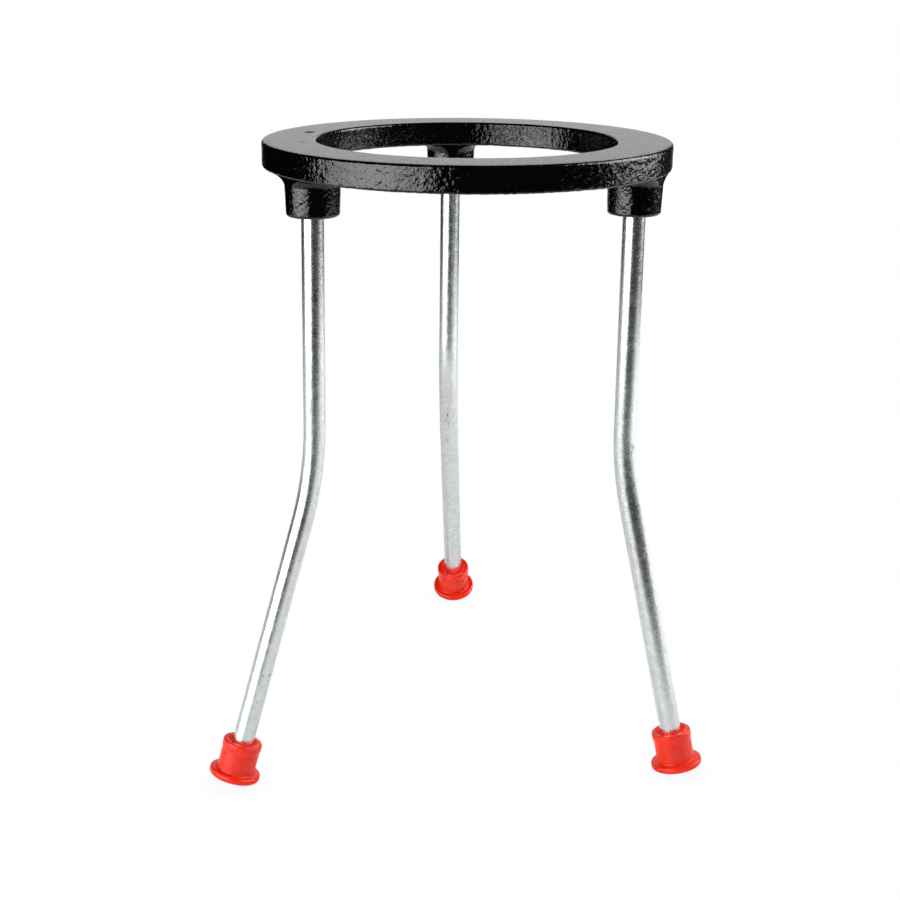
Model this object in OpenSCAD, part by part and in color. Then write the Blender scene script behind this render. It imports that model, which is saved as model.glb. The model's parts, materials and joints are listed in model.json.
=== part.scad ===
// Lab tripod stand: a cast iron ring with three bosses, three bent steel rods and three foot caps.
// Frame: origin on the ring's axis at the level the feet stand on, +Z up, rear leg towards +Y.

/* [Overall] */
// Height from the standing level to the ring's top face, mm
stand_height = 235; // [200:1:280]

/* [Ring] */
// Outside diameter of the ring, mm
ring_outer_d = 150; // [140:1:180]
// Diameter of the ring's opening, mm
ring_opening_d = 110; // [90:1:116]
// Thickness of the ring, mm
ring_thickness = 9.3; // [8:0.1:14]
// Rounding on the ring's two top edges, mm
ring_top_round = 0.5; // [0.2:0.1:1]
// Rounding on the ring's two lower edges, mm
ring_bottom_round = 0.9; // [0.4:0.1:1.5]

/* [Bosses] */
// Iron round a rod where its boss leaves the ring, mm
boss_wall = 5.8; // [4:0.1:7]
// Taper of a boss over its length, taken off the radius, mm
boss_taper = 0.35; // [0:0.05:0.8]
// Length of a boss below the ring, mm
boss_length = 13.3; // [8:0.1:20]
// Rounding of the lower edge of a boss, mm
boss_round = 1.1; // [0.4:0.1:2]
// Radius of the hollow corner between a boss and the ring, mm
boss_fillet = 3; // [1:0.5:4]
// Iron left between the top of a rod and the ring's top face, mm
boss_roof = 5; // [3:0.5:8]

/* [Rods] */
// Diameter of the steel rods, mm
rod_d = 8; // [6:0.5:10]
// Gap all round between a rod and its blind hole in the boss, mm
rod_hole_gap = 0.05; // [0.02:0.01:0.1]
// Outward lean of the upper straight part of a rod, degrees
rod_lean = 0.6; // [0:0.1:2]
// Drop from the ring's top face to the corner of the bend, mm
bend_drop = 117.5; // [100:0.5:140]
// Radius of the bend, measured to the middle of the rod, mm
bend_radius = 124; // [80:1:150]
// Thinning of the rod's radius round the bend, mm
bend_thinning = 0.05; // [0.04:0.01:0.1]
// Chamfer on both ends of a rod, mm
rod_chamfer = 0.6; // [0.2:0.1:1]

/* [Leg angles] */
// Slope of the rear leg below its bend, degrees from upright
rear_splay = 22; // [12:0.5:24]
// Slope of the left leg below its bend, degrees from upright
left_splay = 18; // [12:0.5:24]
// Slope of the right leg below its bend, degrees from upright
right_splay = 14.5; // [12:0.5:24]
// Turn of the rear leg's bend off the radial direction, degrees
rear_twist = -10; // [-15:0.5:15]
// Turn of the left leg's bend off the radial direction, degrees
left_twist = -1; // [-15:0.5:15]
// Turn of the right leg's bend off the radial direction, degrees
right_twist = -9.5; // [-15:0.5:15]

/* [Foot caps] */
// Length of a foot cap along its rod, mm
cap_length = 14.2; // [11:0.2:20]
// Rubber round the rod in the cap's body, mm
cap_wall = 3.12; // [2.2:0.02:5]
// Amount the bead round the mouth stands out from the body, mm
cap_bead_out = 0.3; // [0:0.05:1]
// Height of the bead, mm
cap_bead_height = 2.6; // [1.5:0.1:4]
// Amount the flange stands out from the body, mm
cap_flange_out = 2.45; // [1.5:0.05:5]
// Thickness of the cap's flange, mm
cap_flange_thickness = 2.4; // [1.6:0.1:4]
// Rounding of the cap's outer edges, mm
cap_round = 0.7; // [0.3:0.1:0.8]
// Rubber left under the end of the rod, mm
cap_sole = 3; // [2:0.2:5]
// Gap all round between a rod and the cap's socket, mm
cap_socket_gap = 0.03; // [0.02:0.01:0.1]
// Widening of the socket at the cap's mouth, on the radius, mm
cap_mouth_flare = 1.45; // [0.5:0.05:1.8]
// Depth of the sloping mouth, mm
cap_mouth_depth = 1.8; // [1:0.1:3]

/* [Hidden] */
$fn = 96;
ring_outer_r = ring_outer_d / 2;
ring_opening_r = ring_opening_d / 2;
ring_underside = stand_height - ring_thickness;
// the rods stand in the middle of the ring's band
rod_circle_r = (ring_outer_r + ring_opening_r) / 2;
rod_r = rod_d / 2;
rod_hole_r = rod_r + rod_hole_gap;
boss_top_r = rod_r + boss_wall;
boss_bottom_r = boss_top_r - boss_taper;
cap_socket_r = rod_r + cap_socket_gap;
cap_mouth_r = cap_socket_r + cap_mouth_flare;
cap_body_r = cap_socket_r + cap_wall;
cap_bead_r = cap_body_r + cap_bead_out;
cap_flange_r = cap_body_r + cap_flange_out;
rear_azimuth = 90;
left_azimuth = 210;
right_azimuth = 330;

// a leg turns through its splay less the lean it already has
function bend_angle(splay) = splay - rod_lean;
// distance along the rod from the corner of the bend to either end of the arc
function bend_run(splay) = bend_radius * tan(bend_angle(splay) / 2);
// distance along the rod from the ring's top face to the start of the arc
function arc_start(splay) = bend_drop / cos(rod_lean) - bend_run(splay);
// height of the middle of a cap's sole when the flange's inner edge touches the table
function sole_height(splay) = (cap_flange_r - cap_round) * sin(splay) + cap_round * (1 - cos(splay));
// distance along the rod from the end of the arc to the middle of the cap's sole
function lower_run(splay) = (stand_height - bend_drop - sole_height(splay)) / cos(splay) - bend_run(splay);

// places its children with -Z running down the upper part of a rod, origin level with the ring's top
module at_rod(azimuth, twist) {
    rotate([0, 0, azimuth])
    translate([rod_circle_r, 0, stand_height])
    rotate([0, 0, twist])
    rotate([0, -rod_lean, 0])
    children();
}

// places its children with +Z up the lower part of a rod, origin at the end of the bend
module below_bend(azimuth, twist, splay) {
    at_rod(azimuth, twist)
    translate([
        bend_radius * (1 - cos(bend_angle(splay))),
        0,
        -arc_start(splay) - bend_radius * sin(bend_angle(splay))
    ])
    rotate([0, -bend_angle(splay), 0])
    children();
}

// the band of the ring, with small roundings on its four edges
module ring_band() {
    rotate_extrude()
    translate([0, ring_underside])
    union() {
        translate([ring_opening_r, ring_bottom_round])
        square([ring_outer_r - ring_opening_r, ring_thickness - ring_bottom_round - ring_top_round]);
        translate([ring_opening_r + ring_bottom_round, 0])
        square([ring_outer_r - ring_opening_r - 2 * ring_bottom_round, ring_thickness / 2]);
        translate([ring_opening_r + ring_top_round, ring_thickness / 2])
        square([ring_outer_r - ring_opening_r - 2 * ring_top_round, ring_thickness / 2]);
        translate([ring_opening_r + ring_bottom_round, ring_bottom_round])
        circle(ring_bottom_round);
        translate([ring_outer_r - ring_bottom_round, ring_bottom_round])
        circle(ring_bottom_round);
        translate([ring_opening_r + ring_top_round, ring_thickness - ring_top_round])
        circle(ring_top_round);
        translate([ring_outer_r - ring_top_round, ring_thickness - ring_top_round])
        circle(ring_top_round);
    }
}

// one tapered boss, from inside the ring down to its rounded lower edge
module boss() {
    translate([0, 0, -boss_length])
    rotate_extrude()
    union() {
        polygon([
            [0, boss_round],
            [boss_bottom_r, boss_round],
            [boss_top_r, boss_length],
            [boss_top_r, boss_length + ring_thickness / 2],
            [0, boss_length + ring_thickness / 2]
        ]);
        square([boss_bottom_r - boss_round, boss_round]);
        intersection() {
            translate([boss_bottom_r - boss_round, boss_round])
            circle(boss_round);
            square([boss_bottom_r, boss_round]);
        }
    }
}

// the flare that joins a boss to the underside of the ring
module boss_flare() {
    rotate_extrude()
    difference() {
        translate([boss_top_r - 1, -boss_fillet])
        square([boss_fillet + 1, boss_fillet + ring_thickness / 2]);
        translate([boss_top_r + boss_fillet, -boss_fillet])
        circle(boss_fillet);
    }
}

// a blind hole, drilled at the rod's own lean
module rod_hole(azimuth, twist) {
    at_rod(azimuth, twist)
    translate([0, 0, -ring_thickness - boss_length - 2])
    cylinder(h = ring_thickness + boss_length + 2 - boss_roof, r = rod_hole_r);
}

module ring_casting() {
    color([0.05, 0.05, 0.05])
    difference() {
        union() {
            ring_band();
            for (azimuth = [rear_azimuth, left_azimuth, right_azimuth])
                rotate([0, 0, azimuth])
                translate([rod_circle_r, 0, ring_underside])
                boss();
            intersection() {
                for (azimuth = [rear_azimuth, left_azimuth, right_azimuth])
                    rotate([0, 0, azimuth])
                    translate([rod_circle_r, 0, ring_underside])
                    boss_flare();
                translate([0, 0, ring_underside - boss_fillet - 1])
                difference() {
                    cylinder(h = boss_fillet + 2, r = ring_outer_r - ring_bottom_round);
                    translate([0, 0, -1])
                    cylinder(h = boss_fillet + 4, r = ring_opening_r + ring_bottom_round);
                }
            }
        }
        rod_hole(rear_azimuth, rear_twist);
        rod_hole(left_azimuth, left_twist);
        rod_hole(right_azimuth, right_twist);
    }
}

// a straight length of rod standing on the origin, chamfered at its lower end
module straight_rod(length) {
    rotate_extrude()
    polygon([
        [0, 0],
        [rod_r - rod_chamfer, 0],
        [rod_r, rod_chamfer],
        [rod_r, length],
        [0, length]
    ]);
}

// one rod: straight in the boss, one long bend, straight down into its cap
module rod(azimuth, twist, splay) {
    overlap_angle = asin(0.1 / bend_radius);
    color([0.72, 0.74, 0.76])
    union() {
        at_rod(azimuth, twist)
        translate([0, 0, -boss_roof])
        rotate([180, 0, 0])
        straight_rod(arc_start(splay) - boss_roof);
        at_rod(azimuth, twist)
        translate([bend_radius, 0, -arc_start(splay)])
        rotate([90, 0, 0])
        rotate([0, 0, 180 - overlap_angle])
        rotate_extrude(angle = bend_angle(splay) + 2 * overlap_angle)
        translate([bend_radius, 0])
        circle(rod_r - bend_thinning);
        below_bend(azimuth, twist, splay)
        translate([0, 0, cap_sole - lower_run(splay)])
        straight_rod(lower_run(splay) - cap_sole);
    }
}

// one moulded cap: flange, slightly narrowing body, beaded mouth and a blind socket
module foot_cap(azimuth, twist, splay) {
    bead_low = cap_length - cap_bead_height;
    color([0.86, 0.08, 0.05])
    below_bend(azimuth, twist, splay)
    translate([0, 0, -lower_run(splay)])
    difference() {
        rotate_extrude()
        union() {
            square([cap_flange_r - cap_round, cap_flange_thickness]);
            translate([0, cap_round])
            square([cap_flange_r, cap_flange_thickness - 2 * cap_round]);
            translate([cap_flange_r - cap_round, cap_round])
            circle(cap_round);
            translate([cap_flange_r - cap_round, cap_flange_thickness - cap_round])
            circle(cap_round);
            polygon([
                [0, cap_flange_thickness / 2],
                [cap_body_r, cap_flange_thickness / 2],
                [cap_body_r, bead_low - 0.8],
                [cap_bead_r, bead_low],
                [cap_bead_r, cap_length - cap_round],
                [0, cap_length - cap_round]
            ]);
            square([cap_bead_r - cap_round, cap_length]);
            translate([cap_bead_r - cap_round, cap_length - cap_round])
            circle(cap_round);
        }
        translate([0, 0, cap_sole])
        cylinder(h = cap_length, r = cap_socket_r);
        translate([0, 0, cap_length - cap_mouth_depth])
        cylinder(h = cap_mouth_depth, r1 = cap_socket_r, r2 = cap_mouth_r);
        translate([0, 0, cap_length])
        cylinder(h = 1, r = cap_mouth_r);
    }
}

module rear_rod() {
    rod(rear_azimuth, rear_twist, rear_splay);
}

module left_rod() {
    rod(left_azimuth, left_twist, left_splay);
}

module right_rod() {
    rod(right_azimuth, right_twist, right_splay);
}

module rear_foot_cap() {
    foot_cap(rear_azimuth, rear_twist, rear_splay);
}

module left_foot_cap() {
    foot_cap(left_azimuth, left_twist, left_splay);
}

module right_foot_cap() {
    foot_cap(right_azimuth, right_twist, right_splay);
}

ring_casting();
rear_rod();
left_rod();
right_rod();
rear_foot_cap();
left_foot_cap();
right_foot_cap();
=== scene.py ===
"""Lab tripod stand: the finish of the cast ring, the zinc-plated legs and the moulded foot caps."""

import json
import math

import bpy
import bmesh
import numpy as np
from mathutils import Matrix, Vector, noise


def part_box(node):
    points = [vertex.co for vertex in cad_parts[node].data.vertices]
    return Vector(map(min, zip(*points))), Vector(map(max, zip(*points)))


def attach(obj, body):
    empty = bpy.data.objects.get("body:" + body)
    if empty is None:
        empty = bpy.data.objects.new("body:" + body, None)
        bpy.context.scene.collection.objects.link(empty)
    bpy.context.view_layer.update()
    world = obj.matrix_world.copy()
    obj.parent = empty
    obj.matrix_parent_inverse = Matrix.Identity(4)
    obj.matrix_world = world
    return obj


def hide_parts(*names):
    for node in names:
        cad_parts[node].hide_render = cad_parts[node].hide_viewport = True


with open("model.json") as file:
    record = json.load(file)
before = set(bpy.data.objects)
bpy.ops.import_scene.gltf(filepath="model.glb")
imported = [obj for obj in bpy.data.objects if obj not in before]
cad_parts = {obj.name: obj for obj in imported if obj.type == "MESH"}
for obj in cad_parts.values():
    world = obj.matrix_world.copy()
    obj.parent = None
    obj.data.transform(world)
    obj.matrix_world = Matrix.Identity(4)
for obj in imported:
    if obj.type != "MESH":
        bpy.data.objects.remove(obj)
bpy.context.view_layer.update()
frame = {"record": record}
scene = bpy.context.scene
MM = 0.001

# ---------------------------------------------------------------- sizes, from the frame

ring_low, ring_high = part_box("ring_casting")
STAND_TOP = ring_high.z
RING_OUTER_R = (ring_high.x - ring_low.x) / 2
RING_OPENING_R = next(
    m["dims"]["r_mm"] * MM for m in frame["record"]["mounts"] if m["name"] == "ring_opening"
)
ROD_CIRCLE_R = (RING_OUTER_R + RING_OPENING_R) / 2
RING_THICKNESS = 9.3 * MM
# the enamel makes the ring's upper edges rounder than the bare casting
RING_TOP_ROUND = 1.0 * MM
BOSS_ROOF = 5.0 * MM
ROD_R = 4.0 * MM
ROD_CHAMFER = 0.6 * MM
ROD_LEAN = math.radians(0.6)
BEND_DROP = 117.5 * MM
BEND_R = 124.0 * MM

CAP_LENGTH = 14.2 * MM
CAP_SOLE = 3.0 * MM
CAP_SOCKET_R = ROD_R + 0.03 * MM
CAP_BODY_R = CAP_SOCKET_R + 3.12 * MM
CAP_BEAD_R = CAP_BODY_R + 0.3 * MM
CAP_FLANGE_R = CAP_BODY_R + 2.45 * MM
CAP_BEAD_HEIGHT = 2.6 * MM
CAP_FLANGE_THICKNESS = 2.4 * MM
CAP_ROUND = 0.7 * MM
CAP_MOUTH_R = CAP_SOCKET_R + 1.45 * MM
CAP_MOUTH_DEPTH = 1.8 * MM
CAP_HOLLOW = 0.6 * MM
# the bead swells out of the body over this height, and the mouth has a narrow flat lip
CAP_SWELL = 0.5 * MM
CAP_LIP = 0.25 * MM

# azimuth round the ring, splay below the bend and twist of the bend, in degrees
LEGS = {
    "rear": {"azimuth": 90, "splay": 22, "twist": -10},
    "left": {"azimuth": 210, "splay": 18, "twist": -1},
    "right": {"azimuth": 330, "splay": 14.5, "twist": -9.5},
}

# ---------------------------------------------------------------- camera

CAMERA_AZIMUTH = math.radians(-95.716)
CAMERA_DISTANCE = 517.95 * MM
CAMERA_ABOVE_RING = 59.26 * MM
CAMERA_HEADING = math.radians(86.228)
CAMERA_PITCH = math.radians(18.156)
CAMERA_ROLL = math.radians(0.299)
CAMERA_LENS = 55.66
CAMERA_SENSOR = 36
CAMERA_CLIP = (0.01, 20)
CAMERA_SHIFT = (0.0365, -0.0285)


def make_camera():
    """A camera in front of the stand, aimed by its heading, pitch and roll."""
    data = bpy.data.cameras.new("camera")
    data.lens = CAMERA_LENS
    data.sensor_width = CAMERA_SENSOR
    data.shift_x, data.shift_y = CAMERA_SHIFT
    data.clip_start, data.clip_end = CAMERA_CLIP
    cam = bpy.data.objects.new("camera", data)
    scene.collection.objects.link(cam)
    flat = math.cos(CAMERA_PITCH)
    ahead = Vector((
        math.cos(CAMERA_HEADING) * flat,
        math.sin(CAMERA_HEADING) * flat,
        -math.sin(CAMERA_PITCH),
    ))
    right = Vector((math.sin(CAMERA_HEADING), -math.cos(CAMERA_HEADING), 0))
    up = right.cross(ahead)
    c, s = math.cos(CAMERA_ROLL), math.sin(CAMERA_ROLL)
    across = right * c + up * s
    upright = up * c - right * s
    turn = Matrix((across, upright, -ahead)).transposed()
    place = Vector((
        CAMERA_DISTANCE * math.cos(CAMERA_AZIMUTH),
        CAMERA_DISTANCE * math.sin(CAMERA_AZIMUTH),
        STAND_TOP + CAMERA_ABOVE_RING,
    ))
    cam.matrix_world = Matrix.Translation(place) @ turn.to_4x4()
    scene.camera = cam


make_camera()

# ---------------------------------------------------------------- shader helpers


# the colour sockets of a mix node
MIX_FACTOR, MIX_FIRST, MIX_SECOND, MIX_RESULT = 0, 6, 7, 2


class Nodes:
    """Short hand for building one node tree."""

    def __init__(self, tree):
        self.tree = tree

    def add(self, kind, inputs=None, **settings):
        """A new node with its settings, and its inputs linked or set."""
        node = self.tree.nodes.new(kind)
        for key, value in settings.items():
            setattr(node, key, value)
        for key, value in (inputs or {}).items():
            self.set(node, key, value)
        return node

    def set(self, node, key, value):
        """Links a socket to the input, or sets the input to a plain value."""
        socket = node.inputs[key]
        if isinstance(value, bpy.types.NodeSocket):
            self.tree.links.new(value, socket)
        else:
            socket.default_value = value

    def math(self, operation, *values, clamp=False):
        node = self.add("ShaderNodeMath", operation=operation, use_clamp=clamp)
        for i, value in enumerate(values):
            self.set(node, i, value)
        return node.outputs[0]

    def plus(self, base, value, share):
        """The base with a share of the value added to it."""
        return self.math("ADD", self.math("MULTIPLY", value, share), base)

    def math_vector(self, operation, a, b):
        node = self.add("ShaderNodeVectorMath", operation=operation)
        self.set(node, 0, a)
        self.set(node, 1, b)
        return node.outputs[0]

    def noise(self, coords, scale, detail=2.0, roughness=0.5, distortion=0.0):
        node = self.add(
            "ShaderNodeTexNoise",
            {"Vector": coords, "Scale": scale, "Detail": detail,
             "Roughness": roughness, "Distortion": distortion},
        )
        return node.outputs["Fac"]

    def stretch(self, value, low, high, to_low=0.0, to_high=1.0, smooth=True):
        """Maps the range from low to high onto another range, and holds it outside."""
        node = self.add(
            "ShaderNodeMapRange",
            {"Value": value, "From Min": low, "From Max": high,
             "To Min": to_low, "To Max": to_high},
            interpolation_type="SMOOTHSTEP" if smooth else "LINEAR",
        )
        return node.outputs["Result"]

    def mix(self, factor, first, second):
        """Blends two colours; a plain one is given as red, green and blue."""
        node = self.add("ShaderNodeMix", data_type="RGBA")
        self.set(node, MIX_FACTOR, factor)
        for key, colour in ((MIX_FIRST, first), (MIX_SECOND, second)):
            self.set(node, key, (*colour, 1) if isinstance(colour, tuple) else colour)
        return node.outputs[MIX_RESULT]

    def tint(self, base, mask, share, colour):
        """The base with a share of the mask painted over in the colour."""
        return self.mix(self.math("MULTIPLY", mask, share), base, colour)

    def attribute(self, name):
        return self.add("ShaderNodeAttribute", attribute_name=name).outputs["Fac"]


def new_group(name, inputs, outputs):
    """An empty node group: its Nodes helper, the inputs' sockets and the outputs' sockets."""
    tree = bpy.data.node_groups.new(name, "ShaderNodeTree")
    for label, kind, default in inputs:
        socket = tree.interface.new_socket(name=label, in_out="INPUT", socket_type=kind)
        if default is not None:
            socket.default_value = default
    for label, kind in outputs:
        tree.interface.new_socket(name=label, in_out="OUTPUT", socket_type=kind)
    n = Nodes(tree)
    return n, n.add("NodeGroupInput").outputs, n.add("NodeGroupOutput").inputs


def place_group(n, group, **inputs):
    """Puts a group in a tree; an underscore in a keyword stands for a space."""
    node = n.add("ShaderNodeGroup", node_tree=group)
    for key, value in inputs.items():
        n.set(node, key.replace("_", " "), value)
    return node.outputs


FLOAT, VECTOR = "NodeSocketFloat", "NodeSocketVector"


def make_blotch_group():
    """Cloudy light and dark patches at one size, with finer clouds inside them."""
    n, inp, out = new_group(
        "blotches",
        [("Coordinates", VECTOR, None), ("Patch Scale", FLOAT, 200.0), ("Contrast", FLOAT, 0.5)],
        [("Value", FLOAT)],
    )
    broad = n.noise(
        inp["Coordinates"], inp["Patch Scale"], detail=3.0, roughness=0.55, distortion=0.4
    )
    fine_scale = n.math("MULTIPLY", inp["Patch Scale"], 3.7)
    fine = n.noise(inp["Coordinates"], fine_scale, detail=3.0, roughness=0.6)
    both = n.plus(n.math("MULTIPLY", broad, 0.65), fine, 0.35)
    gain = n.math("MULTIPLY", inp["Contrast"], 4.0)
    swing = n.math("MULTIPLY", n.math("SUBTRACT", both, 0.5), gain)
    n.tree.links.new(n.math("ADD", swing, 0.5, clamp=True), out["Value"])
    return n.tree


def make_speck_group():
    """Small separate specks: dust, pinholes, dark plating spots."""
    n, inp, out = new_group(
        "specks",
        [("Coordinates", VECTOR, None), ("Speck Scale", FLOAT, 900.0), ("Amount", FLOAT, 0.3)],
        [("Mask", FLOAT)],
    )
    cells = n.add(
        "ShaderNodeTexVoronoi",
        {"Vector": inp["Coordinates"], "Scale": inp["Speck Scale"], "Randomness": 1.0},
    )
    chance = n.add("ShaderNodeSeparateColor", {"Color": cells.outputs["Color"]}).outputs["Red"]
    chosen = n.math("LESS_THAN", chance, inp["Amount"])
    spot = n.stretch(cells.outputs["Distance"], 0.12, 0.42, 1.0, 0.0)
    n.tree.links.new(n.math("MULTIPLY", chosen, spot), out["Mask"])
    return n.tree


def make_edge_group():
    """Where the surface is convex and sharp, broken up so that the line isn't even."""
    n, inp, out = new_group(
        "worn_edges",
        [("Coordinates", VECTOR, None), ("Sharpness", FLOAT, 0.53), ("Break Up", FLOAT, 400.0)],
        [("Mask", FLOAT)],
    )
    point = n.add("ShaderNodeNewGeometry").outputs["Pointiness"]
    ridge = n.stretch(point, inp["Sharpness"], n.math("ADD", inp["Sharpness"], 0.06))
    clouds = n.noise(inp["Coordinates"], inp["Break Up"], detail=3.0, roughness=0.6)
    patchy = n.stretch(clouds, 0.42, 0.62)
    n.tree.links.new(n.math("MULTIPLY", ridge, patchy), out["Mask"])
    return n.tree


BLOTCHES = make_blotch_group()
SPECKS = make_speck_group()
WORN_EDGES = make_edge_group()


def emptied_nodes(owner):
    """The emptied node tree of a material or a world."""
    owner.use_nodes = True
    owner.node_tree.nodes.clear()
    return Nodes(owner.node_tree)


def new_material(name):
    """A material with one principled shader: it, its nodes, the shader and object coordinates."""
    mat = bpy.data.materials.new(name)
    n = emptied_nodes(mat)
    shader = n.add("ShaderNodeBsdfPrincipled")
    n.add("ShaderNodeOutputMaterial", {"Surface": shader.outputs[0]})
    coords = n.add("ShaderNodeTexCoord").outputs["Object"]
    return mat, n, shader, coords


def bump(n, height, strength, distance):
    """The normal of a surface that the height lifts by up to the distance."""
    node = n.add("ShaderNodeBump", {"Height": height, "Strength": strength, "Distance": distance})
    return node.outputs["Normal"]


# ---------------------------------------------------------------- materials

ENAMEL_BLACK = (0.0005, 0.0005, 0.0007)
ENAMEL_DUST = (0.006, 0.006, 0.0065)
ENAMEL_WORN = (0.030, 0.030, 0.032)
ENAMEL_PIT = (0.004, 0.004, 0.004)

ZINC_DULL = (0.68, 0.72, 0.73)
ZINC_BRIGHT = (0.90, 0.94, 0.94)
ZINC_GRAIN = (0.42, 0.46, 0.48)
ZINC_SPOT = (0.20, 0.22, 0.24)
ZINC_SCUFF = (0.16, 0.16, 0.17)

RED_DEEP = (0.73, 0.021, 0.006)
RED_LIGHT = (0.80, 0.032, 0.010)
RED_RUBBED = (0.86, 0.075, 0.035)
RED_DUST = (0.95, 0.25, 0.18)
# a painted glow that lightens the inside of the caps' mouths
RED_PAINTED_GLOW = (0.28, 0.010, 0.004)
NO_GLOW = (0, 0, 0)


def make_black_enamel():
    """Thick gloss black enamel that follows the rough skin of the casting."""
    mat, n, shader, coords = new_material("black_enamel")
    cloud = place_group(n, BLOTCHES, Coordinates=coords, Patch_Scale=220.0, Contrast=0.5)["Value"]
    dust = place_group(n, SPECKS, Coordinates=coords, Speck_Scale=700.0, Amount=0.10)["Mask"]
    edges = place_group(n, WORN_EDGES, Coordinates=coords, Sharpness=0.56, Break_Up=420.0)
    worn = edges["Mask"]
    flat = n.attribute("flatness")
    tone = n.mix(dust, ENAMEL_BLACK, ENAMEL_DUST)
    tone = n.tint(tone, worn, 0.6, ENAMEL_WORN)
    n.set(shader, "Base Color", n.mix(n.attribute("pit"), tone, ENAMEL_PIT))
    rough = n.plus(0.045, cloud, 0.06)
    rough = n.plus(rough, worn, 0.08)
    # the ground top face is duller than the walls
    n.set(shader, "Roughness", n.math("ADD", rough, n.stretch(flat, 0.55, 1.0, 0.0, 0.12)))
    shader.inputs["Specular IOR Level"].default_value = 0.5
    # orange peel and worms on the walls, a finer grit on the top face
    peel = n.noise(coords, 1350.0, detail=0.0, distortion=0.2)
    worms = n.noise(coords, 1050.0, detail=0.0, distortion=0.9)
    skin = n.plus(n.math("MULTIPLY", peel, 0.6), worms, 0.7)
    skin = n.math("MULTIPLY", skin, n.stretch(flat, 0.0, 1.0, 1.0, 0.6, smooth=False))
    grit = n.noise(coords, 3200.0, roughness=0.6)
    grit = n.math("MULTIPLY", grit, n.stretch(flat, 0.55, 1.0, 0.04, 0.7))
    n.set(shader, "Normal", bump(n, n.math("ADD", skin, grit), 1.0, 0.11 * MM))
    return mat


def make_zinc():
    """Satin zinc plate: drawn bar underneath, spangled, with small dark spots and scuffs."""
    mat, n, shader, coords = new_material("zinc_plate")
    cloud = place_group(n, BLOTCHES, Coordinates=coords, Patch_Scale=420.0, Contrast=0.7)["Value"]
    fine = place_group(n, BLOTCHES, Coordinates=coords, Patch_Scale=1900.0, Contrast=1.3)
    grains = fine["Value"]
    spots = place_group(n, SPECKS, Coordinates=coords, Speck_Scale=1900.0, Amount=0.34)["Mask"]
    scuff = n.attribute("scuff")
    plate = n.mix(cloud, ZINC_DULL, ZINC_BRIGHT)
    plate = n.tint(plate, grains, 0.15, ZINC_GRAIN)
    plate = n.tint(plate, spots, 0.22, ZINC_SPOT)
    n.set(shader, "Base Color", n.mix(scuff, plate, ZINC_SCUFF))
    shader.inputs["Metallic"].default_value = 1.0
    rough = n.plus(0.20, cloud, 0.06)
    rough = n.plus(rough, grains, 0.05)
    n.set(shader, "Roughness", n.plus(rough, scuff, 0.25))
    spangle = n.noise(coords, 1900.0, roughness=0.6)
    # the drawing marks are long in the direction of the bar
    drawn = n.noise(n.math_vector("MULTIPLY", coords, (1.0, 1.0, 0.12)), 2200.0)
    height = n.plus(spangle, drawn, 0.5)
    height = n.math("SUBTRACT", height, n.math("MULTIPLY", scuff, 1.5))
    n.set(shader, "Normal", bump(n, height, 0.5, 0.05 * MM))
    return mat


def make_red_cap():
    """Moulded red plastic rubber with a satin skin, a little light scattered inside it and a
    painted glow in its mouth.
    """
    mat, n, shader, coords = new_material("red_moulding")
    cloud = place_group(n, BLOTCHES, Coordinates=coords, Patch_Scale=160.0, Contrast=0.4)["Value"]
    dust = place_group(n, SPECKS, Coordinates=coords, Speck_Scale=900.0, Amount=0.08)["Mask"]
    edges = place_group(n, WORN_EDGES, Coordinates=coords, Sharpness=0.53, Break_Up=300.0)
    inside = n.attribute("inside")
    tone = n.mix(cloud, RED_DEEP, RED_LIGHT)
    tone = n.tint(tone, edges["Mask"], 0.5, RED_RUBBED)
    n.set(shader, "Base Color", n.tint(tone, dust, 0.12, RED_DUST))
    # the inside of the mouth is duller, and a painted glow stands in for the light that comes to it
    # through the wall
    n.set(shader, "Roughness", n.plus(n.plus(0.25, cloud, 0.08), inside, 0.45))
    n.set(shader, "Emission Color", n.mix(inside, NO_GLOW, RED_PAINTED_GLOW))
    shader.inputs["Emission Strength"].default_value = 1.0
    shader.inputs["Specular IOR Level"].default_value = 0.36
    shader.inputs["Subsurface Weight"].default_value = 0.7
    shader.inputs["Subsurface Radius"].default_value = (1.0, 0.18, 0.10)
    shader.inputs["Subsurface Scale"].default_value = 0.008
    n.set(shader, "Normal", bump(n, n.noise(coords, 1500.0), 0.1, 0.02 * MM))
    return mat


black_enamel = make_black_enamel()
zinc_plate = make_zinc()
red_moulding = make_red_cap()

# ---------------------------------------------------------------- mesh helpers


def new_piece(name, verts, faces, material, nodes):
    """A smooth-shaded piece that replaces the given nodes of the frame."""
    mesh = bpy.data.meshes.new(name)
    mesh.from_pydata([tuple(v) for v in verts], [], faces)
    mesh.validate()
    mesh.polygons.foreach_set("use_smooth", [True] * len(mesh.polygons))
    mesh.materials.append(material)
    piece = bpy.data.objects.new(name, mesh)
    scene.collection.objects.link(piece)
    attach(piece, "root")
    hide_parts(*nodes)
    return piece


def put_attribute(mesh, name, values):
    """One value per vertex, for the material to read."""
    attribute = mesh.attributes.new(name, "FLOAT", "POINT")
    attribute.data.foreach_set("value", np.asarray(values, dtype=np.float32))


def smoothstep(low, high, x):
    """0 below low, 1 above high, and a smooth rise between them."""
    t = np.clip((x - low) / (high - low), 0, 1)
    return t * t * (3 - 2 * t)


def field(points, scale, offset):
    """Smooth noise between about -1 and 1 at every point."""
    shift = Vector((offset, offset * 0.7, -offset))
    return np.array([noise.noise(Vector(p) * scale + shift) for p in points])


def tube_faces(rows, sides, first=0):
    """The quads between the rows of a tube; `first` is the number of its first vertex."""
    return [
        (near + k, near + (k + 1) % sides, near + sides + (k + 1) % sides, near + sides + k)
        for near in range(first, first + (rows - 1) * sides, sides)
        for k in range(sides)
    ]


# ---------------------------------------------------------------- the cast ring

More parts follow.
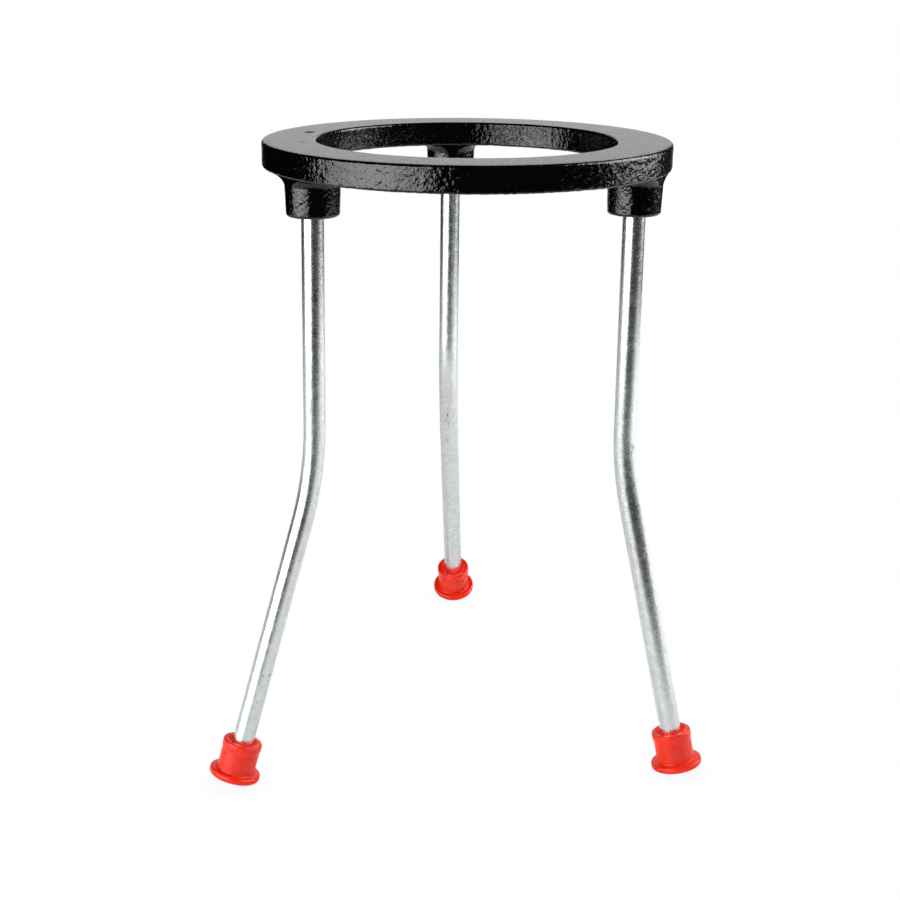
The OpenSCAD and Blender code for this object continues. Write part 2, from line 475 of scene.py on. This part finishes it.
RING_BOTTOM_ROUND = 0.9 * MM
ROD_HOLE_R = ROD_R + 0.05 * MM
ROD_HOLE_CHAMFER = 0.25 * MM
ROD_HOLE_SEEN = 1.5 * MM
BOSS_TOP_R = 9.8 * MM
BOSS_TAPER = 0.35 * MM
BOSS_LENGTH = 13.3 * MM
BOSS_ROUND = 1.1 * MM
BOSS_FILLET = 3.0 * MM
# how far the boss goes on inside the band, and how far it stays from the band's walls there
BOSS_ROOT = 2.0 * MM
BOSS_MARGIN = 0.35 * MM

# how finely the meshes are divided
RING_STEPS = 1120
WALL_STEPS = 22
FACE_STEPS = 4
FAULT_STEPS = 16
ROUND_STEPS = 5
BOSS_SIDES = 300
BOSS_END_STEPS = 12
BOSS_ROUND_STEPS = 7
BOSS_WALL_STEPS = 28
BOSS_FLARE_STEPS = 10

# the hammered skin: waves per metre, height in millimetres and the place in the noise
SWAY_WAVES, SWAY_REACH, SWAY_OFFSETS = 260.0, 0.9, (11.0, 23.0, 37.0)
PEEL_WAVES, PEEL_HEIGHT, PEEL_OFFSET = 900.0, 0.085, 0.0
RIPPLE_WAVES, RIPPLE_HEIGHT, RIPPLE_OFFSET = 480.0, 0.085, 5.0
LUMP_WAVES, LUMP_HEIGHT, LUMP_OFFSET = 120.0, 0.050, 3.1
# the skin's middle lies this far inside the casting's surface, and no point less than the least
SKIN_SINK = 0.11 * MM
SKIN_LEAST_SINK = 0.002 * MM
# grinding took this much of the relief and of the sink off the top face
GROUND_RELIEF, GROUND_SINK = 0.90, 0.88
# the enamel ran thicker on the bosses, so their skin is calmer
BOSS_CALM = 0.5
# the upward part of a normal where the ground face starts and where it is flat
GROUND_NORMAL = (0.90, 0.998)
# a pit this deep is wholly dull and dark; its wall runs between these shares of its size
FULL_PIT = 0.2 * MM
PIT_WALL = (0.35, 1.0)

# casting faults on the top face: azimuth, radius, half length, half width, depth, direction
TOP_FAULTS = [
    (159.4, 61.6 * MM, 2.9 * MM, 2.4 * MM, 0.52 * MM, 70),
    (-170.3, 60.4 * MM, 3.6 * MM, 0.55 * MM, 0.18 * MM, -76),
    (-141.0, 66.0 * MM, 0.5 * MM, 0.4 * MM, 0.15 * MM, 0),
    (-64.0, 62.0 * MM, 0.6 * MM, 0.4 * MM, 0.12 * MM, 30),
    (24.0, 68.5 * MM, 0.5 * MM, 0.4 * MM, 0.12 * MM, 60),
]
# the faults lie this far inside the ring's outer edge and outside its opening
FAULTS_FROM_OUTSIDE = 11.0 * MM
FAULTS_FROM_OPENING = 1.8 * MM


def arc(cx, cz, r, from_deg, to_deg, steps):
    """Points on an arc of a section, both ends included."""
    angles = [math.radians(from_deg + (to_deg - from_deg) * i / steps) for i in range(steps + 1)]
    return [(cx + r * math.cos(t), cz + r * math.sin(t)) for t in angles]


def line(start, end, steps):
    """The points between two ends, without the ends."""
    return [
        (start[0] + (end[0] - start[0]) * i / steps, start[1] + (end[1] - start[1]) * i / steps)
        for i in range(1, steps)
    ]


def lathe(profile, steps):
    """Turns a closed section of (radius, height) points about Z into vertices and quads."""
    turn = np.arange(steps) * 2 * math.pi / steps
    profile = np.array(profile)
    count = len(profile)
    verts = np.empty((steps, count, 3))
    verts[:, :, 0] = np.cos(turn)[:, None] * profile[None, :, 0]
    verts[:, :, 1] = np.sin(turn)[:, None] * profile[None, :, 0]
    verts[:, :, 2] = profile[None, :, 1]
    i = np.arange(steps)[:, None]
    j = np.arange(count)[None, :]
    near, far = i * count, (i + 1) % steps * count
    nxt = (j + 1) % count
    faces = np.stack([near + j, far + j, far + nxt, near + nxt], axis=-1).reshape(-1, 4)
    return verts.reshape(-1, 3), faces.tolist()


def skin_relief(points):
    """Height of the hammered, orange-peel enamel over the sand-cast skin, in metres."""
    sway = np.stack([field(points, SWAY_WAVES, offset) for offset in SWAY_OFFSETS], axis=1)
    bent = points + sway * SWAY_REACH * MM
    peel = field(bent, PEEL_WAVES, PEEL_OFFSET)
    ripple = field(bent, RIPPLE_WAVES, RIPPLE_OFFSET)
    lumps = field(points, LUMP_WAVES, LUMP_OFFSET)
    return (PEEL_HEIGHT * peel + RIPPLE_HEIGHT * ripple + LUMP_HEIGHT * lumps) * MM


def read_vectors(items, key):
    """One vector of every item of a mesh, as an array."""
    out = np.empty(len(items) * 3)
    items.foreach_get(key, out)
    return out.reshape(-1, 3)


def raise_skin(piece, calm):
    """Moves the vertices along their normals by the relief; calm is 1 where it was ground flat."""
    mesh = piece.data
    at = read_vectors(mesh.vertices, "co")
    out = read_vectors(mesh.vertex_normals, "vector")
    flat = calm(at, out)
    height = skin_relief(at) * (1 - GROUND_RELIEF * flat) - SKIN_SINK * (1 - GROUND_SINK * flat)
    height = np.minimum(height, -SKIN_LEAST_SINK)
    height -= pits_and_crack(at) * flat
    at = at + out * height[:, None]
    mesh.vertices.foreach_set("co", at.ravel())
    put_attribute(mesh, "flatness", flat)
    put_attribute(mesh, "pit", np.clip(pits_and_crack(at) / FULL_PIT, 0, 1) * flat)
    mesh.update()


def pits_and_crack(at):
    """How deep the casting faults are at every point."""
    deep = np.zeros(len(at))
    for azimuth, radius, half_length, half_width, depth, direction in TOP_FAULTS:
        a, d = math.radians(azimuth), math.radians(direction)
        x, y = at[:, 0] - radius * math.cos(a), at[:, 1] - radius * math.sin(a)
        along = x * math.cos(d) + y * math.sin(d)
        across = y * math.cos(d) - x * math.sin(d)
        away = np.hypot(along / half_length, across / half_width)
        deep = np.maximum(deep, depth * (1 - smoothstep(*PIT_WALL, away)))
    return deep


def make_ring_band():
    """The flat ring: its section turned about the middle, with the skin on it."""
    low = STAND_TOP - RING_THICKNESS
    q, t = RING_BOTTOM_ROUND, RING_TOP_ROUND
    top_out = arc(RING_OUTER_R - t, STAND_TOP - t, t, 0, 90, ROUND_STEPS)
    top_in = arc(RING_OPENING_R + t, STAND_TOP - t, t, 90, 180, ROUND_STEPS)
    low_in = arc(RING_OPENING_R + q, low + q, q, 180, 270, ROUND_STEPS)
    low_out = arc(RING_OUTER_R - q, low + q, q, 270, 360, ROUND_STEPS)
    # the top face is finer where its casting faults lie
    fine_out = (RING_OUTER_R - FAULTS_FROM_OUTSIDE, STAND_TOP)
    fine_in = (RING_OPENING_R + FAULTS_FROM_OPENING, STAND_TOP)
    profile = top_out + line(top_out[-1], fine_out, FACE_STEPS)
    profile += [fine_out] + line(fine_out, fine_in, FAULT_STEPS) + [fine_in]
    profile += top_in + line(top_in[-1], low_in[0], WALL_STEPS)
    profile += low_in + line(low_in[-1], low_out[0], FACE_STEPS)
    profile += low_out + line(low_out[-1], top_out[0], WALL_STEPS)
    verts, faces = lathe(profile, RING_STEPS)
    piece = new_piece("ring_band", verts, faces, black_enamel, ["ring_casting"])

    def ground_flat(at, out):
        upward = smoothstep(*GROUND_NORMAL, out[:, 2])
        return upward * (at[:, 2] > STAND_TOP - RING_TOP_ROUND)

    raise_skin(piece, ground_flat)


def make_boss(side, leg):
    """A tapered boss with its flare, pierced from below by the rod's hole."""
    low = -BOSS_LENGTH
    low_r = BOSS_TOP_R - BOSS_TAPER
    reach = BOSS_TOP_R + BOSS_FILLET
    profile = [(ROD_HOLE_R, low + ROD_HOLE_SEEN), (ROD_HOLE_R, low + ROD_HOLE_CHAMFER)]
    profile += [(ROD_HOLE_R + ROD_HOLE_CHAMFER, low)]
    edge = arc(low_r - BOSS_ROUND, low + BOSS_ROUND, BOSS_ROUND, 270, 360, BOSS_ROUND_STEPS)
    profile += line(profile[-1], edge[0], BOSS_END_STEPS) + edge
    flare = arc(reach, -BOSS_FILLET, BOSS_FILLET, 180, 90, BOSS_FLARE_STEPS)
    profile += line(edge[-1], flare[0], BOSS_WALL_STEPS) + flare
    # the root closes the boss inside the band, where nothing is seen
    profile += [(reach + 0.3 * MM, 0.12 * MM), (reach, 1.2 * MM)]
    profile += [(BOSS_TOP_R, BOSS_ROOT), (ROD_HOLE_R, BOSS_ROOT)]
    verts, faces = lathe(profile, BOSS_SIDES)
    verts = verts + np.array([ROD_CIRCLE_R, 0, STAND_TOP - RING_THICKNESS])
    a = math.radians(leg["azimuth"])
    c, s = math.cos(a), math.sin(a)
    x, y, z = verts.T
    verts = np.stack([x * c - y * s, x * s + y * c, z], axis=1)
    # the flare stops where the band's own rounded edges start
    radius = np.hypot(verts[:, 0], verts[:, 1])
    above = verts[:, 2] > STAND_TOP - RING_THICKNESS - BOSS_FILLET
    within = np.clip(radius, RING_OPENING_R + BOSS_MARGIN, RING_OUTER_R - BOSS_MARGIN)
    held = np.where(above, within, radius)
    verts[:, :2] *= (held / radius)[:, None]
    name = "boss_" + side
    piece = new_piece(name, verts, faces, black_enamel, ["ring_casting"])
    raise_skin(piece, lambda at, out: np.full(len(at), BOSS_CALM))


make_ring_band()
for side, leg in LEGS.items():
    make_boss(side, leg)

# ---------------------------------------------------------------- the legs

ROD_SIDES = 72
ROD_STEP = 0.8 * MM
# the mesh stays this far inside the bar's round surface and its two ends
ROD_SINK = 0.015 * MM
ROD_END_SINK = 0.02 * MM

# marks of the bending tool: distance down the rod, angle round it, half length, half width,
# strength; the angle and the half width are in degrees
SCUFFS = {
    "rear": [(127.5 * MM, 178, 1.6 * MM, 6, 1.0), (132.0 * MM, 186, 2.2 * MM, 5, 0.8),
             (130.0 * MM, 168, 1.0 * MM, 5, 0.7), (141.0 * MM, 170, 1.2 * MM, 6, 0.9)],
    "left": [(195.5 * MM, 112, 0.7 * MM, 8, 0.9), (195.5 * MM, 68, 0.6 * MM, 7, 0.7),
             (206.5 * MM, 76, 0.6 * MM, 7, 0.6), (150.0 * MM, 95, 0.5 * MM, 6, 0.4)],
    "right": [(108.5 * MM, 352, 1.3 * MM, 9, 1.0), (110.5 * MM, 340, 1.0 * MM, 7, 0.8),
              (107.5 * MM, 336, 0.7 * MM, 6, 0.6)],
}


def rod_axes(leg):
    """The matrix of a leg: its origin level with the ring's top, -Z down the rod, +X outward."""
    return (
        Matrix.Rotation(math.radians(leg["azimuth"]), 4, "Z")
        @ Matrix.Translation((ROD_CIRCLE_R, 0, STAND_TOP))
        @ Matrix.Rotation(math.radians(leg["twist"]), 4, "Z")
        @ Matrix.Rotation(-ROD_LEAN, 4, "Y")
    )


def leg_runs(leg):
    """Where down the rod its bend starts, the bend's angle, and the length below the bend."""
    splay = math.radians(leg["splay"])
    angle = splay - ROD_LEAN
    run = BEND_R * math.tan(angle / 2)
    start = BEND_DROP / math.cos(ROD_LEAN) - run
    sole = (CAP_FLANGE_R - CAP_ROUND) * math.sin(splay) + CAP_ROUND * (1 - math.cos(splay))
    lower = (STAND_TOP - BEND_DROP - sole) / math.cos(splay) - run
    return start, angle, lower


def rod_point(leg, distance):
    """The rod's middle and its slope at a distance down it, in the leg's own axes."""
    start, angle, lower = leg_runs(leg)
    if distance < start:
        return Vector((0, 0, -distance)), 0.0
    bend = angle * BEND_R
    if distance < start + bend:
        a = (distance - start) / BEND_R
        return Vector((BEND_R * (1 - math.cos(a)), 0, -start - BEND_R * math.sin(a))), a
    past = distance - start - bend
    end = Vector((BEND_R * (1 - math.cos(angle)), 0, -start - BEND_R * math.sin(angle)))
    return end + Vector((math.sin(angle), 0, -math.cos(angle))) * past, angle


# a scuff fades between these shares of its size
SCUFF_EDGE = (0.3, 1.0)


def scuff_marks(side, along, around):
    """How scuffed the rod is at every point of it."""
    mask = np.zeros(len(along))
    for distance, angle, half_length, half_width, strength in SCUFFS[side]:
        turn = (np.degrees(around) - angle + 180) % 360 - 180
        away = np.hypot((along - distance) / half_length, turn / half_width)
        mask = np.maximum(mask, strength * (1 - smoothstep(*SCUFF_EDGE, away)))
    return mask


def make_rod(side, leg):
    """One bent bar from the boss's roof to the cap's sole, with its chamfers and scuffs."""
    start, angle, lower = leg_runs(leg)
    axes = rod_axes(leg)
    total = start + angle * BEND_R + lower - CAP_SOLE
    first = BOSS_ROOF + ROD_CHAMFER
    length = total - ROD_CHAMFER - first
    rows = int(length / ROD_STEP)
    stations = [BOSS_ROOF + ROD_END_SINK, first]
    stations += [first + length * (i + 1) / rows for i in range(rows)]
    stations.append(total - ROD_END_SINK)
    sideways = Vector((0, 1, 0))
    verts, along, around = [], [], []
    for i, s in enumerate(stations):
        middle, a = rod_point(leg, s)
        across = Vector((math.cos(a), 0, math.sin(a)))
        r = ROD_R - ROD_SINK
        if i in (0, len(stations) - 1):
            r -= ROD_CHAMFER
        for k in range(ROD_SIDES):
            t = 2 * math.pi * k / ROD_SIDES
            verts.append(axes @ (middle + (across * math.cos(t) + sideways * math.sin(t)) * r))
            along.append(s)
            around.append(t)
    faces = tube_faces(len(stations), ROD_SIDES)
    faces.append(tuple(range(ROD_SIDES - 1, -1, -1)))
    faces.append(tuple(range(len(verts) - ROD_SIDES, len(verts))))
    piece = new_piece("leg_" + side, verts, faces, zinc_plate, [side + "_rod"])
    put_attribute(piece.data, "scuff", scuff_marks(side, np.array(along), np.array(around)))
    bm = bmesh.new()
    bm.from_mesh(piece.data)
    bmesh.ops.recalc_face_normals(bm, faces=bm.faces)
    bm.to_mesh(piece.data)
    bm.free()


for side, leg in LEGS.items():
    make_rod(side, leg)

# ---------------------------------------------------------------- the foot caps

CAP_SIDES = 112
CAP_ROUND_STEPS = 6
CAP_BODY_STEPS = 14
CAP_BEAD_STEPS = 8
CAP_MOUTH_STEPS = 6


def cap_profile():
    """Half of the cap's section, from the middle of its sole up the outside and down the socket."""
    q = CAP_ROUND
    low_bead = CAP_LENGTH - CAP_BEAD_HEIGHT
    foot = CAP_FLANGE_THICKNESS + CAP_HOLLOW
    body = low_bead - 0.9 * MM - foot
    flare = CAP_MOUTH_R - CAP_SOCKET_R
    points = [(0.0, 0.0), (CAP_FLANGE_R * 0.5, 0.0)]
    points += arc(CAP_FLANGE_R - q, q, q, -90, 0, CAP_ROUND_STEPS)
    points += arc(CAP_FLANGE_R - q, CAP_FLANGE_THICKNESS - q, q, 0, 90, CAP_ROUND_STEPS)
    points += arc(CAP_BODY_R + CAP_HOLLOW, foot, CAP_HOLLOW, 270, 180, CAP_ROUND_STEPS)
    for i in range(1, CAP_BODY_STEPS + 1):
        points.append((CAP_BODY_R, foot + body * i / CAP_BODY_STEPS))
    # the bead swells out of the body and rounds over into the mouth
    points += [(CAP_BODY_R + 0.1 * MM, low_bead - CAP_SWELL), (CAP_BEAD_R - 0.05 * MM, low_bead)]
    points += [(CAP_BEAD_R, low_bead + CAP_SWELL)]
    points += arc(CAP_BEAD_R - q, CAP_LENGTH - q, q, 0, 90, CAP_BEAD_STEPS)
    points += [(CAP_MOUTH_R + CAP_LIP, CAP_LENGTH), (CAP_MOUTH_R, CAP_LENGTH - 0.08 * MM)]
    for i in range(1, CAP_MOUTH_STEPS + 1):
        down = i / CAP_MOUTH_STEPS
        points.append((CAP_SOCKET_R + flare * (1 - down), CAP_LENGTH - CAP_MOUTH_DEPTH * down))
    points += [(CAP_SOCKET_R, CAP_LENGTH - CAP_MOUTH_DEPTH - 1.0 * MM), (CAP_SOCKET_R, CAP_SOLE)]
    points += [(0.0, CAP_SOLE)]
    return points


def make_cap(side, leg):
    """A cap square to its leg: the section turned about the rod, closed by a fan at each end."""
    start, angle, lower = leg_runs(leg)
    middle, slope = rod_point(leg, start + angle * BEND_R + lower)
    place = rod_axes(leg) @ Matrix.Translation(middle) @ Matrix.Rotation(-slope, 4, "Y")
    sides = CAP_SIDES
    profile = cap_profile()
    rows = profile[1:-1]
    verts = [place @ Vector((0, 0, profile[0][1]))]
    for r, z in rows:
        for k in range(sides):
            t = 2 * math.pi * k / sides
            verts.append(place @ Vector((r * math.cos(t), r * math.sin(t), z)))
    verts.append(place @ Vector((0, 0, profile[-1][1])))
    last = len(verts) - 1
    end = last - sides
    faces = [(0, 1 + (k + 1) % sides, 1 + k) for k in range(sides)]
    faces += tube_faces(len(rows), sides, 1)
    faces += [(last, end + k, end + (k + 1) % sides) for k in range(sides)]
    piece = new_piece("cap_" + side, verts, faces, red_moulding, [side + "_foot_cap"])
    # the inside of the mouth: rougher, and given the painted glow
    widest = CAP_MOUTH_R + 0.1 * MM
    inside = [float(r < widest and z > CAP_SOLE) for r, z in rows for _ in range(sides)]
    put_attribute(piece.data, "inside", [0.0] + inside + [1.0])


for side, leg in LEGS.items():
    make_cap(side, leg)

# ---------------------------------------------------------------- the studio

SHEET_R = 0.8
SHEET_DROP = 0.2 * MM
# the white sheet fades into shade between these distances in front of the stand
SHEET_FADE = (0.24, 0.48)
# how far from a foot the sheet is a little darker
CONTACT_REACH = 0.03

WHITE, SHEET_CONTACT = (1, 1, 1), (0.95, 0.95, 0.95)
SHEET_LIT, SHEET_SHADED = (0.9, 0.9, 0.9), (0.02, 0.02, 0.02)

# azimuth from the camera's side to its right, distance, height, width, tallness, power
SOFTBOXES = {
    "left_softbox": (-50, 0.9, 0.30, 1.12, 0.8, 11),
    "left_softbox_middle": (-48, 0.88, 0.26, 0.5, 0.55, 1.6),
    "right_softbox": (100, 1.0, 0.74, 0.85, 0.9, 9),
    "right_softbox_low": (102, 0.6, 0.395, 0.5, 0.55, 2.6),
}


def make_floor():
    """The white sheet: seen as even white with soft contact shade, reflected as matt paper."""
    mat = bpy.data.materials.new("white_table")
    n = emptied_nodes(mat)
    seen = n.add("ShaderNodeLightPath").outputs["Is Camera Ray"]
    shade = n.add("ShaderNodeAmbientOcclusion", {"Distance": CONTACT_REACH}, samples=8)
    tint = n.mix(n.stretch(shade.outputs["AO"], 0.35, 0.95), SHEET_CONTACT, WHITE)
    glow = n.add("ShaderNodeEmission", {"Color": tint, "Strength": 1.0})
    place = n.add("ShaderNodeTexCoord").outputs["Object"]
    front = (math.cos(CAMERA_AZIMUTH), math.sin(CAMERA_AZIMUTH), 0)
    dot = n.add("ShaderNodeVectorMath", {0: place, 1: front}, operation="DOT_PRODUCT")
    fade = n.stretch(dot.outputs["Value"], *SHEET_FADE)
    matt = n.add("ShaderNodeBsdfDiffuse", {"Color": n.mix(fade, SHEET_LIT, SHEET_SHADED)})
    both = n.add("ShaderNodeMixShader", {0: seen, 1: matt.outputs[0], 2: glow.outputs[0]})
    n.add("ShaderNodeOutputMaterial", {"Surface": both.outputs[0]})
    bm = bmesh.new()
    bmesh.ops.create_circle(bm, cap_ends=True, radius=SHEET_R, segments=96)
    mesh = bpy.data.meshes.new("floor")
    bm.to_mesh(mesh)
    bm.free()
    mesh.materials.append(mat)
    floor = bpy.data.objects.new("floor", mesh)
    floor.location.z = -SHEET_DROP
    scene.collection.objects.link(floor)


def softbox(name, azimuth, distance, height, width, tall, power):
    """A flat soft light facing the stand, hidden from the camera."""
    data = bpy.data.lights.new(name, "AREA")
    data.shape = "RECTANGLE"
    data.size, data.size_y = width, tall
    data.energy = power
    lamp = bpy.data.objects.new(name, data)
    a = CAMERA_AZIMUTH + math.radians(azimuth)
    spot = Vector((distance * math.cos(a), distance * math.sin(a), height))
    aim = Vector((0, 0, min(height, STAND_TOP * 0.6)))
    turn = (aim - spot).to_track_quat("-Z", "Y").to_matrix().to_4x4()
    lamp.matrix_world = Matrix.Translation(spot) @ turn
    lamp.visible_camera = False
    scene.collection.objects.link(lamp)


def make_world():
    """A dark room with a white backdrop behind the stand and a dim white card to its right."""
    world = bpy.data.worlds.new("studio")
    n = emptied_nodes(world)
    way = n.add("ShaderNodeTexCoord").outputs["Generated"]
    part = n.add("ShaderNodeSeparateXYZ", {"Vector": way}).outputs
    c, s = math.cos(CAMERA_AZIMUTH), math.sin(CAMERA_AZIMUTH)
    toward = n.plus(n.math("MULTIPLY", part["X"], c), part["Y"], s)
    across_y = n.math("MULTIPLY", part["Y"], c)
    rightward = n.math("SUBTRACT", across_y, n.math("MULTIPLY", part["X"], s))
    azimuth = n.math("ARCTAN2", rightward, toward)
    # the card starts at the camera's right and is brightest just under the horizon
    card = n.stretch(azimuth, math.radians(50), math.radians(110))
    card = n.math("MULTIPLY", card, n.stretch(part["Z"], -0.34, -0.12, 0.26, 0.02))
    card = n.math("MULTIPLY", card, n.stretch(part["Z"], 0.1, 0.35, 1.0, 0.1))
    room = n.stretch(azimuth, math.radians(-95), math.radians(-20), 0.003, 0.028)
    # the backdrop is straight behind the stand and darker high up
    behind = n.stretch(n.math("ABSOLUTE", azimuth), math.radians(160), math.radians(170))
    backdrop = n.math("MULTIPLY", behind, n.stretch(part["Z"], 0.3, 0.6, 0.92, 0.05))
    light = n.math("MAXIMUM", n.math("MAXIMUM", backdrop, card), room)
    seen = n.add("ShaderNodeLightPath").outputs["Is Camera Ray"]
    strength = n.math("MAXIMUM", light, seen)
    back = n.add("ShaderNodeBackground", {"Color": (1, 1, 1, 1), "Strength": strength})
    n.add("ShaderNodeOutputWorld", {"Surface": back.outputs[0]})
    scene.world = world


make_floor()
make_world()
for name, settings in SOFTBOXES.items():
    softbox(name, *settings)

scene.view_settings.view_transform = "Standard"
